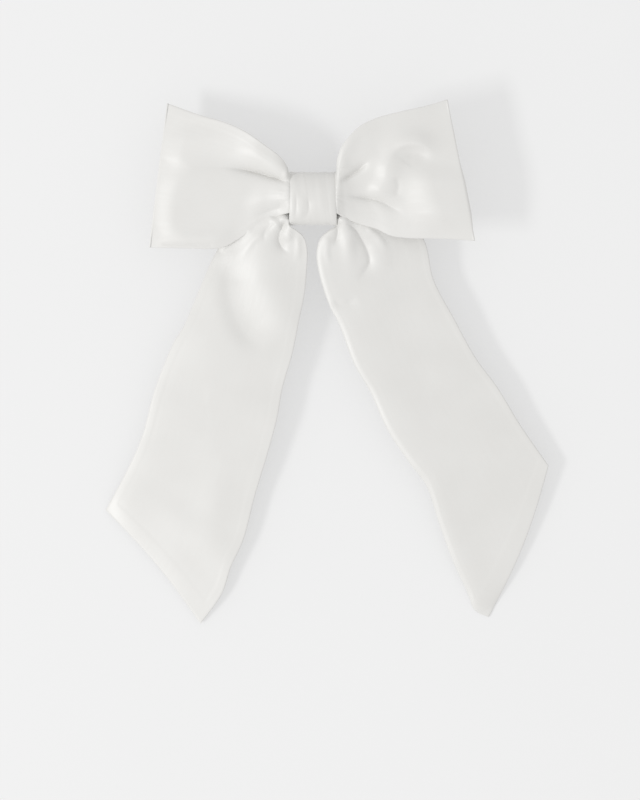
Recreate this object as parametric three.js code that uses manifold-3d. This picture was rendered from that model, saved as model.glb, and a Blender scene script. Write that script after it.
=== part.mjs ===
// A satin hair bow on a French barrette, in millimetres.
// +Z points out of the bow's front, +Y to its top, +X to its right as it is looked at.
// The origin is the middle of the flat underside of the clasp arm, which the bow rests on.

import * as THREE from "three";
import { mergeVertices } from "three/addons/utils/BufferGeometryUtils.js";
import Module from "manifold-3d";

const wasm = await Module();
wasm.setup();

// ---- driving dimensions ----

const FIT = 0.3; // gap between pieces that touch
const BORE_DEPTH = 14; // how high a vertical hole's cutter stands, over everything it goes through

// Barrette, lengthwise along X, hinge at -X and catch at +X.
const PLATE_WIDTH = 8;
const PLATE_THICK = 0.8;
const PLATE_END_Z = 5.2; // underside of the plate's two flat landings
const PLATE_RISE = 5.6; // how far the arch stands over the landings
const ARCH_HALF = 33; // half the arch's length
const PLATE_HALF = 38.5;

const HINGE_X = -36.6;
const HINGE_Z = 2.9;
const PIN_RADIUS = 0.8;
const PIN_HOLE_RADIUS = 0.95;
const KNUCKLE_RADIUS = 1.8;
const EAR_THICK = 0.8;
const PIN_HEAD_RADIUS = 1.2;
const PIN_HEAD_THICK = 0.45;

const ARM_WIDTH = 5.8;
const ARM_THICK = 1.2;
const ARM_KNUCKLE_INNER = 1.5; // the tension bar's knuckle sits between the arm's two
const ARM_HEAD_Z = 1.7;
const ARM_HEAD_WIDTH = 8.4;
const ARM_RIB_HEIGHT = 0.4;
const ARM_RIB_HALF_WIDTH = 0.8;
const ARM_RIB_HALF = 28;
const ARM_FLAT_START = -33.6; // the underside is flat from here, behind the hinge, to the ramp up to the head
const ARM_FLAT_END = 31.4;
const ARM_RAMP_SHIFT = 0.7; // how far the ramp's top face stands back from its underside
const ARM_HEAD_START = 33;
const ARM_HEAD_END = 39.6; // the thumb lip starts here
const LIP_X = 42;
const LIP_EDGE = 0.6;
const LIP_DROP = 0.8;
const WINDOW_HALF_WIDTH = 2.6; // of the window in the arm's head that snaps over the catch
const WINDOW_PLAY = 0.5; // along X, each side of the catch

const BAR_THICK = 0.4;
const BAR_WIDTH = 4.8;
const BAR_KNUCKLE_WIDTH = 2.4;
const BAR_END_Z = 3.6;
const BAR_RISE = 4.3;
const BAR_NECK_END = -32.5; // the bar widens here, past the arm's knuckles
const BAR_TIP = 30.5;

const CATCH_X = 36;
const CATCH_LENGTH = 3.4;
const CATCH_AXIS_Y = 1.75;
const CATCH_AXIS_Z = 4.5;
const LEAF_THICK = 0.5;
const LEAF_FOOT_Z = 1;
const WING_REACH = 5.4;
const WING_THICK = 0.6;
const WING_TOP = 0.2; // over the bend line, like WING_LOW below it
const WING_LOW = 0.9;
const BARB_REACH = 0.3; // the foot's outward bump that the arm's window catches on
const BARB_HEIGHT = 0.7;

const CATCH_BASE_HALF = 2.3;
const CATCH_BASE_THICK = 0.8;
const RIVET_RADIUS = 0.4;
const RIVET_HOLE_RADIUS = 0.7;
const RIVET_FOOT_RADIUS = 1;
const RIVET_FOOT_THICK = 0.5;
const RIVET_HEAD_RADIUS = 1.5;
const RIVET_HEAD_THICK = 0.6;

const SEWING_HOLE_RADIUS = 0.9;
const SEWING_HOLES_X = [26.5, 30.5];
const THREAD_RADIUS = 0.35;

const PAD_WIDTH = 10;
const PAD_THICK = 1;
const PAD_HALF = 32;

// Bow.
const KNOT_HALF_WIDTH = 10.3; // along X
const KNOT_HALF_HEIGHT = 11.8; // along Y
const KNOT_Z = 17.2;
const KNOT_RISE = 8.5;
const KNOT_WALL_SIDE = 1.2;
const KNOT_WALL_TOP = 1.05;

const OVAL_POWER = 3; // of the knot's and the thread's outlines: 2 is an ellipse, more is squarer

const THREAD_BAND_HALF = 1.5;
const THREAD_BAND_HALF_HEIGHT = 10;
const THREAD_BAND_RISE = 5.45;
const THREAD_BAND_Z = 18.6;
const THREAD_BAND_WALL = 0.6;

const WAIST_GAP = 0.3; // from X = 0 to the gathered end of each loop and tail
const LOOP_WALL = 1.3;
const FOLD_RADIUS = 1.2; // of a loop's outer fold, at the middle of its wall
const TAIL_HALF_THICK = 1.2;

// ---- materials ----

const steel = () => new THREE.MeshStandardMaterial({ color: 0xc9c9cc, roughness: 0.28, metalness: 1 });
const springSteel = () => new THREE.MeshStandardMaterial({ color: 0xb9babf, roughness: 0.34, metalness: 1 });
const satin = () => new THREE.MeshStandardMaterial({ color: 0xe9e8e3, roughness: 0.42, metalness: 0 });
const felt = () => new THREE.MeshStandardMaterial({ color: 0xe4e1d8, roughness: 0.95, metalness: 0 });
const thread = () => new THREE.MeshStandardMaterial({ color: 0xe6e3da, roughness: 0.7, metalness: 0 });

// ---- solids ----

function toSolid(geometry) {
  const bare = geometry.clone();
  bare.deleteAttribute("normal");
  bare.deleteAttribute("uv");
  const merged = mergeVertices(bare, 1e-4);
  const vertProperties = merged.attributes.position.array;
  const triVerts = new Uint32Array(merged.index.array);
  return new wasm.Manifold(new wasm.Mesh({ numProp: 3, vertProperties, triVerts }));
}

function toGeometry(solid) {
  const mesh = solid.getMesh();
  const geometry = new THREE.BufferGeometry();
  geometry.setAttribute("position", new THREE.BufferAttribute(new Float32Array(mesh.vertProperties), 3));
  geometry.setIndex(new THREE.BufferAttribute(new Uint32Array(mesh.triVerts), 1));
  const flat = geometry.toNonIndexed();
  flat.computeVertexNormals();
  return flat;
}

const join = (geometries) =>
  toGeometry(geometries.map(toSolid).reduce((whole, piece) => whole.add(piece)));

const cut = (geometry, cutters) =>
  toGeometry(cutters.map(toSolid).reduce((left, cutter) => left.subtract(cutter), toSolid(geometry)));

// A box from its lowest to its highest corner.
function block([x0, y0, z0], [x1, y1, z1]) {
  const box = new THREE.BoxGeometry(x1 - x0, y1 - y0, z1 - z0);
  return box.translate((x0 + x1) / 2, (y0 + y1) / 2, (z0 + z1) / 2);
}

// A cylinder along Y, centred on y = 0.
const rodAlongY = (x, z, radius, length, y = 0) =>
  new THREE.CylinderGeometry(radius, radius, length, 20).translate(x, y, z);

// A cylinder along Z, from z0 to z1.
const rodAlongZ = (x, y, z0, z1, radius) =>
  new THREE.CylinderGeometry(radius, radius, z1 - z0, 20)
    .rotateX(Math.PI / 2)
    .translate(x, y, (z0 + z1) / 2);

// A profile drawn in X and Z, extruded along Y between two values.
function extrudeAlongY(shape, y0, y1) {
  const solid = new THREE.ExtrudeGeometry(shape, { depth: y1 - y0, bevelEnabled: false, curveSegments: 10 });
  return solid.rotateX(Math.PI / 2).translate(0, y1, 0);
}

// A profile drawn in Y and Z, extruded along X either side of 0.
function extrudeAlongX(shape, half, steps) {
  const solid = new THREE.ExtrudeGeometry(shape, { depth: 2 * half, bevelEnabled: false, steps });
  const turned = new THREE.Matrix4().makeBasis(
    new THREE.Vector3(0, 1, 0),
    new THREE.Vector3(0, 0, 1),
    new THREE.Vector3(1, 0, 0),
  );
  return solid.translate(0, 0, -half).applyMatrix4(turned);
}

// A strip of even thickness that follows z = height(x), the height of its underside.
function stripProfile(height, thickness, xs) {
  const under = xs.map((x) => new THREE.Vector2(x, height(x)));
  const over = xs.map((x) => new THREE.Vector2(x, height(x) + thickness)).reverse();
  return new THREE.Shape([...under, ...over]);
}

const spread = (from, to, count) =>
  Array.from({ length: count + 1 }, (_, i) => from + ((to - from) * i) / count);

// A rounded box outline, between a circle-like oval (power 2) and a rectangle.
function ovalPoints(halfY, halfZ, centreZ, power, count) {
  return spread(0, 2 * Math.PI, count)
    .slice(0, count)
    .map((angle) => {
      const c = Math.cos(angle);
      const s = Math.sin(angle);
      const y = halfY * Math.sign(c) * Math.abs(c) ** (2 / power);
      const z = centreZ + halfZ * Math.sign(s) * Math.abs(s) ** (2 / power);
      return new THREE.Vector2(y, z);
    });
}

function ovalRing(outer, inner) {
  const shape = new THREE.Shape(outer);
  shape.holes.push(new THREE.Path(inner));
  return shape;
}

function part(name, geometry, material) {
  const mesh = new THREE.Mesh(geometry, material);
  mesh.name = name;
  return mesh;
}

// ---- barrette ----

const plateUnder = (x) =>
  PLATE_END_Z + PLATE_RISE * Math.max(0, 1 - (x / ARCH_HALF) ** 2);
const plateTop = (x) => plateUnder(x) + PLATE_THICK;
const barUnder = (x) => BAR_END_Z + BAR_RISE * (1 - (x / ARCH_HALF) ** 2);

const ARCH_XS = spread(-ARCH_HALF, ARCH_HALF, 24);

function basePlate() {
  const half = PLATE_WIDTH / 2;
  const profile = stripProfile(plateUnder, PLATE_THICK, [-PLATE_HALF, ...ARCH_XS, PLATE_HALF]);
  const strip = extrudeAlongY(profile, -half, half);
  const ear = new THREE.Shape();
  ear.moveTo(HINGE_X + KNUCKLE_RADIUS, PLATE_END_Z + PLATE_THICK / 2);
  ear.lineTo(HINGE_X - KNUCKLE_RADIUS, PLATE_END_Z + PLATE_THICK / 2);
  ear.lineTo(HINGE_X - KNUCKLE_RADIUS, HINGE_Z);
  ear.absarc(HINGE_X, HINGE_Z, KNUCKLE_RADIUS, Math.PI, 2 * Math.PI, false);
  const body = join([
    strip,
    extrudeAlongY(ear, half - EAR_THICK, half),
    extrudeAlongY(ear, -half, EAR_THICK - half),
  ]);
  const sewing = SEWING_HOLES_X.flatMap((x) => [
    rodAlongZ(x, 0, 0, BORE_DEPTH, SEWING_HOLE_RADIUS),
    rodAlongZ(-x, 0, 0, BORE_DEPTH, SEWING_HOLE_RADIUS),
  ]);
  return cut(body, [
    ...sewing,
    rodAlongZ(CATCH_X, 0, 0, BORE_DEPTH, RIVET_HOLE_RADIUS + RIVET_RADIUS),
    rodAlongY(HINGE_X, HINGE_Z, PIN_HOLE_RADIUS, 2 * PLATE_WIDTH),
  ]);
}

// Drawn about its own middle and placed on the hinge axis.
function hingePin() {
  const half = PLATE_WIDTH / 2 + FIT;
  const head = half + PIN_HEAD_THICK / 2;
  return join([
    rodAlongY(0, 0, PIN_RADIUS, 2 * half + PIN_HEAD_THICK),
    rodAlongY(0, 0, PIN_HEAD_RADIUS, PIN_HEAD_THICK, head),
    rodAlongY(0, 0, PIN_HEAD_RADIUS, PIN_HEAD_THICK, -head),
  ]);
}

function claspArm() {
  const half = ARM_WIDTH / 2;
  const headTop = ARM_HEAD_Z + ARM_THICK;
  const side = new THREE.Shape();
  side.moveTo(HINGE_X, HINGE_Z - KNUCKLE_RADIUS);
  side.lineTo(ARM_FLAT_START, 0);
  side.lineTo(ARM_FLAT_END, 0);
  side.lineTo(ARM_HEAD_START, ARM_HEAD_Z);
  side.lineTo(ARM_HEAD_END, ARM_HEAD_Z);
  side.quadraticCurveTo(LIP_X - 2 * LIP_EDGE, ARM_HEAD_Z, LIP_X - LIP_EDGE, ARM_HEAD_Z - LIP_DROP);
  side.lineTo(LIP_X, ARM_HEAD_Z - LIP_DROP + LIP_EDGE);
  side.quadraticCurveTo(LIP_X - LIP_EDGE, headTop, ARM_HEAD_END, headTop);
  side.lineTo(ARM_HEAD_START - ARM_RAMP_SHIFT, headTop);
  side.lineTo(ARM_FLAT_END - ARM_RAMP_SHIFT, ARM_THICK);
  side.lineTo(ARM_FLAT_START + LIP_EDGE, ARM_THICK);
  side.lineTo(HINGE_X + KNUCKLE_RADIUS, HINGE_Z);
  side.absarc(HINGE_X, HINGE_Z, KNUCKLE_RADIUS, 0, 1.5 * Math.PI, false);
  const headHalf = ARM_HEAD_WIDTH / 2;
  const body = join([
    extrudeAlongY(side, -half, half),
    block([ARM_HEAD_START, -headHalf, ARM_HEAD_Z], [ARM_HEAD_END, headHalf, headTop]),
    block(
      [-ARM_RIB_HALF, -ARM_RIB_HALF_WIDTH, ARM_THICK / 2],
      [ARM_RIB_HALF, ARM_RIB_HALF_WIDTH, ARM_THICK + ARM_RIB_HEIGHT],
    ),
  ]);
  const windowHalf = CATCH_LENGTH / 2 + WINDOW_PLAY;
  return cut(body, [
    block(
      [CATCH_X - windowHalf, -WINDOW_HALF_WIDTH, 0],
      [CATCH_X + windowHalf, WINDOW_HALF_WIDTH, PLATE_END_Z],
    ),
    block(
      [HINGE_X - 2 * KNUCKLE_RADIUS, -ARM_KNUCKLE_INNER, ARM_THICK / 2],
      [ARM_FLAT_START, ARM_KNUCKLE_INNER, PLATE_END_Z],
    ),
    rodAlongY(HINGE_X, HINGE_Z, PIN_HOLE_RADIUS, 2 * ARM_WIDTH),
  ]);
}

function tensionBar() {
  const neckHalf = BAR_KNUCKLE_WIDTH / 2;
  const half = BAR_WIDTH / 2;
  const neckXs = spread(HINGE_X + PIN_HEAD_RADIUS, BAR_NECK_END + LIP_EDGE, 3);
  const neck = stripProfile(barUnder, BAR_THICK, neckXs);
  const blade = stripProfile(barUnder, BAR_THICK, spread(BAR_NECK_END, BAR_TIP, 24));
  const body = join([
    rodAlongY(HINGE_X, HINGE_Z, KNUCKLE_RADIUS, BAR_KNUCKLE_WIDTH),
    extrudeAlongY(neck, -neckHalf, neckHalf),
    extrudeAlongY(blade, -half, half),
    rodAlongY(BAR_TIP, barUnder(BAR_TIP) + BAR_THICK / 2, BAR_THICK, BAR_WIDTH),
  ]);
  return cut(body, [rodAlongY(HINGE_X, HINGE_Z, PIN_HOLE_RADIUS, BAR_WIDTH)]);
}

const CATCH_BASE_TOP = PLATE_END_Z - FIT;

function catchBase() {
  const half = CATCH_AXIS_Y - LEAF_THICK / 2 - FIT;
  const plate = block(
    [CATCH_X - CATCH_BASE_HALF, -half, CATCH_BASE_TOP - CATCH_BASE_THICK],
    [CATCH_X + CATCH_BASE_HALF, half, CATCH_BASE_TOP],
  );
  return cut(plate, [rodAlongZ(CATCH_X, 0, 0, BORE_DEPTH, RIVET_HOLE_RADIUS)]);
}

// Drawn on the Z axis and placed over the catch.
function catchRivet() {
  const low = CATCH_BASE_TOP - CATCH_BASE_THICK - FIT;
  const high = PLATE_END_Z + PLATE_THICK + FIT;
  return join([
    rodAlongZ(0, 0, low - RIVET_FOOT_THICK / 2, high + RIVET_HEAD_THICK / 2, RIVET_RADIUS),
    rodAlongZ(0, 0, low - RIVET_FOOT_THICK, low, RIVET_FOOT_RADIUS),
    rodAlongZ(0, 0, high, high + RIVET_HEAD_THICK, RIVET_HEAD_RADIUS),
  ]);
}

// One leaf of the catch, drawn about its bend line with its outer side to +Y.
function catchTab() {
  const foot = LEAF_FOOT_Z - CATCH_AXIS_Z;
  const outer = LEAF_THICK / 2;
  const reach = WING_REACH - CATCH_AXIS_Y;
  const section = new THREE.Shape();
  section.moveTo(-outer, WING_TOP);
  section.lineTo(-outer, foot);
  section.lineTo(outer, foot);
  section.lineTo(outer + BARB_REACH, foot + BARB_HEIGHT / 2);
  section.lineTo(outer, foot + BARB_HEIGHT);
  section.lineTo(outer, WING_TOP - WING_THICK);
  section.lineTo(reach - LEAF_THICK, WING_TOP - WING_THICK);
  section.lineTo(reach, -WING_LOW);
  section.lineTo(reach, WING_TOP - BARB_REACH);
  section.lineTo(reach - LEAF_THICK, WING_TOP);
  return extrudeAlongX(section, CATCH_LENGTH / 2, 1);
}

// A stitch through two neighbouring sewing holes, drawn about its own middle. Its ends meet under the plate.
function stitch(tilt) {
  const halfX = (SEWING_HOLES_X[1] - SEWING_HOLES_X[0]) / 2;
  const halfZ = (PLATE_THICK + FIT + PAD_THICK) / 2 + FIT + THREAD_RADIUS;
  const endGap = 0.2;
  const squareness = 0.5;
  const route = spread(endGap - Math.PI / 2, 1.5 * Math.PI - endGap, 16)
    .map((angle) => {
      const x = halfX * Math.sign(Math.cos(angle)) * Math.abs(Math.cos(angle)) ** squareness;
      const z = halfZ * Math.sign(Math.sin(angle)) * Math.abs(Math.sin(angle)) ** squareness;
      return new THREE.Vector3(x, 0, z + tilt * x);
    });
  const section = new THREE.Shape().absarc(0, 0, THREAD_RADIUS, 0, 2 * Math.PI, false);
  const extrudePath = new THREE.CatmullRomCurve3(route);
  return new THREE.ExtrudeGeometry(section, { steps: 36, curveSegments: 3, extrudePath });
}

// ---- soft pieces ----

function backingPad() {
  const profile = stripProfile((x) => plateTop(x) + FIT, PAD_THICK, spread(-PAD_HALF, PAD_HALF, 24));
  const strip = extrudeAlongY(profile, -PAD_WIDTH / 2, PAD_WIDTH / 2);
  const holes = SEWING_HOLES_X.flatMap((x) => [
    rodAlongZ(x, 0, 0, BORE_DEPTH, SEWING_HOLE_RADIUS),
    rodAlongZ(-x, 0, 0, BORE_DEPTH, SEWING_HOLE_RADIUS),
  ]);
  return cut(strip, holes);
}

// An oval ring in Y and Z, of half height and rise, with walls of side and top thickness.
function ovalBand(halfHeight, rise, z, side, top, halfLength, count) {
  const outer = ovalPoints(halfHeight, rise, z, OVAL_POWER, count);
  const inner = ovalPoints(halfHeight - side, rise - top, z, OVAL_POWER, count);
  return extrudeAlongX(ovalRing(outer, inner), halfLength, 1);
}

const knotBand = () =>
  ovalBand(KNOT_HALF_HEIGHT, KNOT_RISE, KNOT_Z, KNOT_WALL_SIDE, KNOT_WALL_TOP, KNOT_HALF_WIDTH, 48);

const gatherThread = () =>
  ovalBand(
    THREAD_BAND_HALF_HEIGHT,
    THREAD_BAND_RISE,
    THREAD_BAND_Z,
    THREAD_BAND_WALL,
    THREAD_BAND_WALL,
    THREAD_BAND_HALF,
    32,
  );

// A smooth function through a few [x, value] pairs.
function smooth(pairs) {
  const curve = new THREE.CatmullRomCurve3(pairs.map(([x, value]) => new THREE.Vector3(x, value, 0)));
  const samples = curve.getPoints(20 * pairs.length);
  return (x) => {
    const i = Math.max(1, samples.findIndex((p) => p.x >= x));
    const [a, b] = x > samples.at(-1).x ? samples.slice(-2) : [samples[i - 1], samples[i]];
    return THREE.MathUtils.mapLinear(x, a.x, b.x, a.y, b.y);
  };
}

// A loop is a band folded back on itself at its outer end and open along its top and bottom edges.
// top, bottom, middle and half are functions of the distance from the knot: the two edges' heights
// along Y, and the middle and half the spacing of the two layers along Z.
// side is -1 for the left loop and 1 for the right.
function loop(side, { reach, slant, top, bottom, middle, half }) {
  const neckEnd = KNOT_HALF_WIDTH + 2 * FIT;
  const foldX = reach - FOLD_RADIUS;
  const xs = [WAIST_GAP, 6, neckEnd, neckEnd + 1.5, 14.5, ...spread(18, foldX - 2, 11)];
  const under = xs.map((x) => new THREE.Vector2(x, middle(x) - half(x)));
  const over = xs.map((x) => new THREE.Vector2(x, middle(x) + half(x))).reverse();
  const fold = spread(-Math.PI / 2, Math.PI / 2, 4).map(
    (angle) => new THREE.Vector2(foldX, middle(foldX)).add(
      new THREE.Vector2(Math.cos(angle), Math.sin(angle)).multiplyScalar(FOLD_RADIUS),
    ),
  );
  const path = [...under, ...fold, ...over];
  const normals = path.map((_, i) => {
    const along = path[Math.min(i + 1, path.length - 1)].clone().sub(path[Math.max(i - 1, 0)]).normalize();
    return new THREE.Vector2(along.y, -along.x);
  });
  const band = new THREE.BoxGeometry(1, 1, 1, path.length - 1, 6, 1);
  const at = band.attributes.position;
  for (let i = 0; i < at.count; i += 1) {
    const station = Math.round((at.getX(i) + 0.5) * (path.length - 1));
    const share = at.getY(i) + 0.5;
    const { x, y: z } = path[station];
    const offset = at.getZ(i) * LOOP_WALL;
    const y = THREE.MathUtils.lerp(bottom(x), top(x), share);
    const shift = slant * (share - 0.5) * (x / reach) ** 2;
    at.setXYZ(i, side * (x + shift + offset * normals[station].x), y, z + offset * normals[station].y);
  }
  return side > 0 ? flipped(band.toNonIndexed()) : band;
}

// Turns every face of a non-indexed geometry round.
function flipped(geometry) {
  const at = geometry.attributes.position;
  const a = new THREE.Vector3();
  const b = new THREE.Vector3();
  for (let i = 0; i < at.count; i += 3) {
    a.fromBufferAttribute(at, i);
    b.fromBufferAttribute(at, i + 1);
    at.setXYZ(i, b.x, b.y, b.z);
    at.setXYZ(i + 1, a.x, a.y, a.z);
  }
  return geometry;
}

const leftLoop = () =>
  loop(-1, {
    reach: 68,
    slant: -8,
    top: smooth([
      [0, 7], [5, 7], [11, 7.6], [13, 13], [21, 22.9],
      [30, 29], [39, 33], [50, 36.4], [68, 41.4],
    ]),
    bottom: smooth([
      [0, -5.5], [11, -6], [19, -8.8], [29, -14.6],
      [38, -20.4], [46, -21.5], [68, -21.1],
    ]),
    middle: smooth([[0, 19.8], [12, 19.9], [30, 21.4], [50, 19.2], [68, 13.6]]),
    half: smooth([[0, 1.85], [12, 1.95], [30, 4.2], [50, 3.8], [62, 2.2], [68, FOLD_RADIUS]]),
  });

const rightLoop = () =>
  loop(1, {
    reach: 65,
    slant: -12,
    top: smooth([
      [0, 7], [5, 7], [11, 7.6], [13, 18], [20, 30.4],
      [28, 34.8], [38, 37.4], [50, 40], [65, 42.7],
    ]),
    bottom: smooth([
      [0, -5.5], [11, -6], [20, -10.6], [30, -14.2],
      [38, -16.6], [50, -17.2], [65, -18.2],
    ]),
    middle: smooth([[0, 19.8], [12, 19.9], [30, 22], [50, 22.8], [65, 23]]),
    half: smooth([[0, 1.85], [12, 1.95], [30, 4.2], [50, 3.8], [60, 2.2], [65, FOLD_RADIUS]]),
  });

// A tail is a sheet between two edge curves that run from the knot to the slanted end.
function tail(edgeA, edgeB, endBow) {
  const curveA = new THREE.CatmullRomCurve3(edgeA.map((p) => new THREE.Vector3(...p)));
  const curveB = new THREE.CatmullRomCurve3(edgeB.map((p) => new THREE.Vector3(...p)));
  const endLine = edgeB.at(-1).map((value, axis) => value - edgeA.at(-1)[axis]);
  const outward = new THREE.Vector3(endLine[1], -endLine[0], 0).normalize();
  if (outward.y > 0) outward.negate();
  const sheet = new THREE.BoxGeometry(1, 1, 1, 8, 32, 1);
  const at = sheet.attributes.position;
  const point = new THREE.Vector3();
  for (let i = 0; i < at.count; i += 1) {
    const across = at.getX(i) + 0.5;
    const along = 0.5 - at.getY(i);
    point.lerpVectors(curveA.getPoint(along), curveB.getPoint(along), across);
    point.addScaledVector(outward, endBow * Math.sin(Math.PI * across) * along ** 6);
    at.setXYZ(i, point.x, point.y, point.z + 2 * TAIL_HALF_THICK * at.getZ(i));
  }
  return sheet;
}

const leftTail = () =>
  tail(
    [
      [-WAIST_GAP, 2.6, 15.7],
      [-11.5, 2.4, 15.4],
      [-24, -4, 14],
      [-36, -15, 12.4],
      [-43, -25, 11],
      [-57, -57, 7],
      [-69, -83, 4.6],
      [-77, -109, 3],
      [-91.1, -137, 1.2],
    ],
    [
      [-WAIST_GAP, -6, 15.7],
      [-11.5, -7.2, 15.4],
      [-12.4, -13.5, 14.8],
      [-6.4, -19.5, 14],
      [-3.2, -28, 13],
      [-7, -56, 11],
      [-14.4, -88, 9.2],
      [-25.8, -130, 7],
      [-49.5, -186.6, 1.2],
    ],
    -1.8,
  );

const rightTail = () =>
  tail(
    [
      [WAIST_GAP, -6, 15.7],
      [11.5, -7.2, 15.4],
      [12.4, -13.5, 14.8],
      [5.2, -18.5, 14],
      [2.4, -26, 13],
      [9, -50, 11],
      [25.5, -85, 8],
      [50, -127, 4.8],
      [73.5, -183, 1.2],
    ],
    [
      [WAIST_GAP, 2.6, 15.7],
      [11.5, 2.4, 15.4],
      [26, -2, 14.4],
      [41, -10, 13.2],
      [50, -22, 12],
      [60, -50, 10],
      [72, -71, 8.6],
      [87, -94, 7.2],
      [103.4, -119.5, 5.6],
    ],
    5,
  );

// ---- assembly ----

const hairBow = new THREE.Group();
hairBow.name = "hair_bow";

const bow = new THREE.Group();
bow.add(
  part("left_loop", leftLoop(), satin()),
  part("right_loop", rightLoop(), satin()),
  part("left_tail", leftTail(), satin()),
  part("right_tail", rightTail(), satin()),
  part("knot_band", knotBand(), satin()),
  part("gather_thread", gatherThread(), thread()),
);

const barrette = new THREE.Group();
const pin = part("hinge_pin", hingePin(), steel());
pin.position.set(HINGE_X, 0, HINGE_Z);
const rivet = part("catch_rivet", catchRivet(), steel());
rivet.position.set(CATCH_X, 0, 0);
const tabFront = part("catch_tab_front", catchTab(), springSteel());
tabFront.position.set(CATCH_X, CATCH_AXIS_Y, CATCH_AXIS_Z);
const tabBack = part("catch_tab_back", catchTab(), springSteel());
tabBack.position.set(CATCH_X, -CATCH_AXIS_Y, CATCH_AXIS_Z);
tabBack.rotation.z = Math.PI;
barrette.add(
  part("base_plate", basePlate(), steel()),
  pin,
  part("clasp_arm", claspArm(), steel()),
  part("tension_bar", tensionBar(), springSteel()),
  part("catch_base", catchBase(), steel()),
  rivet,
  tabFront,
  tabBack,
);

const backing = new THREE.Group();
backing.add(part("backing_pad", backingPad(), felt()));
const stitchX = (SEWING_HOLES_X[0] + SEWING_HOLES_X[1]) / 2;
for (const [name, side] of [["stitch_left", -1], ["stitch_right", 1]]) {
  const slope = (plateUnder(SEWING_HOLES_X[1]) - plateUnder(SEWING_HOLES_X[0])) /
    (SEWING_HOLES_X[1] - SEWING_HOLES_X[0]);
  const ring = part(name, stitch(side * slope), thread());
  ring.position.set(side * stitchX, 0, plateUnder(stitchX) + (PLATE_THICK + FIT + PAD_THICK) / 2);
  backing.add(ring);
}

hairBow.add(bow, barrette, backing);

export default hairBow;
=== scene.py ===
import math

import bpy
import numpy as np
from mathutils import Matrix, Vector


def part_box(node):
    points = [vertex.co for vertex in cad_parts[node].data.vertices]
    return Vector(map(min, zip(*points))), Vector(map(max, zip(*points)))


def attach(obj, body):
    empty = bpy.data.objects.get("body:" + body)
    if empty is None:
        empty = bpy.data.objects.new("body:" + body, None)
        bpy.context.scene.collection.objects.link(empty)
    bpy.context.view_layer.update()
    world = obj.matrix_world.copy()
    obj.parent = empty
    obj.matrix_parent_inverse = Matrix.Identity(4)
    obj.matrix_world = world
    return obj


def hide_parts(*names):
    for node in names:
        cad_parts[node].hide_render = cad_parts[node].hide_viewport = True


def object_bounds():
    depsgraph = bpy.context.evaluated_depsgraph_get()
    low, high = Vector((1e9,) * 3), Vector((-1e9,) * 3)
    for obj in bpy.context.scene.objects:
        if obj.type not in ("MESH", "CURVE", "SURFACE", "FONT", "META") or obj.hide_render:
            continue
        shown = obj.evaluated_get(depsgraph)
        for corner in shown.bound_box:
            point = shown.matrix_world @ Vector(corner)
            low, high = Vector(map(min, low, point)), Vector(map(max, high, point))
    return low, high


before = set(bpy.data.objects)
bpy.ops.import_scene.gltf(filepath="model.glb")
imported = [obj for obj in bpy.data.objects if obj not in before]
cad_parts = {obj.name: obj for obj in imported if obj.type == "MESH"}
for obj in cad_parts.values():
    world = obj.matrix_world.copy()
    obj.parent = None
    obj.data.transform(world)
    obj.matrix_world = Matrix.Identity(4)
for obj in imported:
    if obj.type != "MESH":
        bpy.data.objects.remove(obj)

# A satin hair bow on a French barrette, lying face up on a pale table.
# Places on the bow are in millimetres in the frame's axes, and become metres where a mesh is made.
# The room, the camera and the light are in metres.

CAD_BOX = [list(corner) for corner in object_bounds()]
MM = 0.001


# ---- small tools ----

def node_box(name):
    """A CAD node's lowest and highest corners, in millimetres."""
    lo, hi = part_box(name)
    return np.array(lo) / MM, np.array(hi) / MM


def smoothstep(x, low, high):
    """0 up to low, 1 from high on, and a soft step between."""
    t = np.clip((np.asarray(x, float) - low) / (high - low), 0, 1)
    return t * t * (3 - 2 * t)


def between(a, b, share):
    """a where share is 0, b where it is 1."""
    return a + (b - a) * share


SPAN_SAMPLES = 24


def route(points, count=80):
    """A smooth curve through the points (centripetal Catmull-Rom), sampled evenly along its length."""
    p = np.array(points, float)
    p = np.vstack([2 * p[0] - p[1], p, 2 * p[-1] - p[-2]])
    knots = np.concatenate([[0], np.cumsum(np.linalg.norm(np.diff(p, axis=0), axis=1) ** 0.5)])
    pieces = []
    for i in range(1, len(p) - 2):
        t0, t1, t2, t3 = knots[i - 1:i + 3]
        t = np.linspace(t1, t2, SPAN_SAMPLES, endpoint=i == len(p) - 3)[:, None]
        a1 = (t1 - t) / (t1 - t0) * p[i - 1] + (t - t0) / (t1 - t0) * p[i]
        a2 = (t2 - t) / (t2 - t1) * p[i] + (t - t1) / (t2 - t1) * p[i + 1]
        a3 = (t3 - t) / (t3 - t2) * p[i + 1] + (t - t2) / (t3 - t2) * p[i + 2]
        b1 = (t2 - t) / (t2 - t0) * a1 + (t - t0) / (t2 - t0) * a2
        b2 = (t3 - t) / (t3 - t1) * a2 + (t - t1) / (t3 - t1) * a3
        pieces.append((t2 - t) / (t2 - t1) * b1 + (t - t1) / (t2 - t1) * b2)
    dense = np.vstack(pieces)
    along = np.concatenate([[0], np.cumsum(np.linalg.norm(np.diff(dense, axis=0), axis=1))])
    even = np.linspace(0, along[-1], count)
    return np.column_stack([np.interp(even, along, dense[:, k]) for k in range(dense.shape[1])])


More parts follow.
